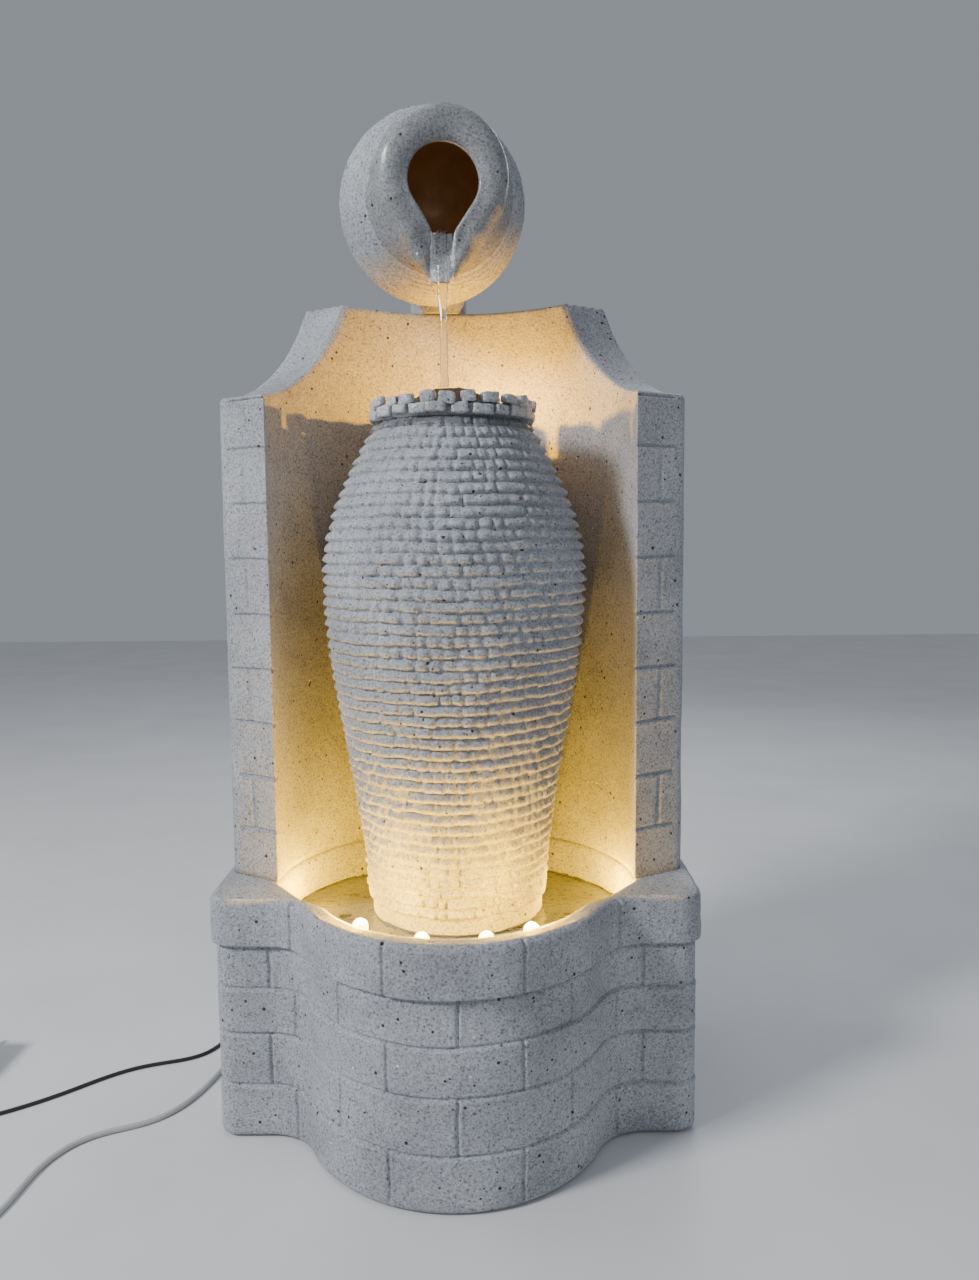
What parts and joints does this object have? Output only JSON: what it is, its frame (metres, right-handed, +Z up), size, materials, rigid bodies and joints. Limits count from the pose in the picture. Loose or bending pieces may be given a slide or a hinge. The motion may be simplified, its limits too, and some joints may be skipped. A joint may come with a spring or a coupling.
{
  "type": "tabletop water fountain",
  "caption": "Cast stone table fountain: a pot pours into a ribbed vase in a lit niche above a bow-fronted basin with a hidden pump.",
  "frame": {"origin": "bottom centre of the fountain's own box, cords left out", "axes": "+X to the fountain's right as seen from the front, +Y towards its flat back, +Z up"},
  "size_m": [0.621, 0.3801, 0.766],
  "materials": {
    "cast_stone": "sandy cast stone with dark and rust specks",
    "wet_stone": "smooth damp cast stone",
    "black_rubber": "matt",
    "grey_rubber": "matt",
    "pump_plastic": "fine textured",
    "rotor_plastic": "moulded",
    "dial_plastic": "moulded",
    "shaft_ceramic": "ground",
    "hose_plastic": "clear flexible tube",
    "steel": "stainless",
    "brass": "bright",
    "light_lens": "domed lens, lit warm",
    "light_body": "potted",
    "pad_foam": "open coarse foam",
    "white_lead": "soft sheath",
    "black_lead": "soft sheath",
    "adapter_plastic": "fine textured"
  },
  "bodies": {
    "fountain": {"basin": "cast_stone", "feet": "grey_rubber", "deck": "wet_stone", "alcove": "cast_stone", "vase": "cast_stone", "pot": "cast_stone", "pot_saddle": "cast_stone", "inlet_spigot": "pump_plastic", "riser_hose": "hose_plastic", "hose_clamp": "steel", "pump_body": "pump_plastic", "pump_volute": "pump_plastic", "impeller_shaft": "shaft_ceramic", "suction_cups": "black_rubber", "led_housings": "light_body", "led_lenses": "light_lens", "led_cable": "black_lead", "led_junction": "light_body", "mouth_led_housing": "light_body", "mouth_led_lens": "light_lens", "mouth_led_cable": "black_lead", "pump_inner_lead": "white_lead", "led_inner_lead": "black_lead", "pump_strain_relief": "white_lead", "led_strain_relief": "black_lead", "pump_lead": "white_lead", "pump_lead_coil": "white_lead", "pump_lead_tie": "black_rubber", "pump_plug": "white_lead", "pump_plug_pins": "brass", "led_lead": "black_lead", "led_lead_coil": "black_lead", "led_lead_tie": "black_rubber", "led_adapter": "adapter_plastic", "led_adapter_pins": "brass"},
    "impeller": {"impeller": "rotor_plastic"},
    "intake_cover": {"intake_grille": "pump_plastic"},
    "flow_dial": {"flow_dial": "dial_plastic"},
    "drain_plug": {"drain_plug": "grey_rubber"},
    "rear_hatch": {"rear_hatch": "cast_stone", "hatch_gasket": "black_rubber", "hatch_screws": "steel"},
    "splash_pad": {"splash_pad": "pad_foam"}
  },
  "joints": [
    {"name": "impeller_spin", "type": "hinge", "parent": "fountain", "child": "impeller", "pos_m": [-0.015, 0.05, 0.037], "axis": [0, 1, 0], "continuous": true},
    {"name": "intake_pull", "type": "slide", "parent": "fountain", "child": "intake_cover", "axis": [0, -1, 0], "range_m": [0, 0.03]},
    {"name": "dial_turn", "type": "hinge", "parent": "intake_cover", "child": "flow_dial", "pos_m": [-0.015, -0.008, 0.037], "axis": [0, 1, 0], "range_deg": [0, 90]},
    {"name": "drain_pull", "type": "slide", "parent": "fountain", "child": "drain_plug", "axis": [0, 1, 0], "range_m": [0, 0.03]},
    {"name": "hatch_pull", "type": "slide", "parent": "fountain", "child": "rear_hatch", "axis": [0, 1, 0], "range_m": [0, 0.05]},
    {"name": "pad_lift", "type": "slide", "parent": "fountain", "child": "splash_pad", "axis": [0, 0, 1], "range_m": [0, 0.03]}
  ]
}
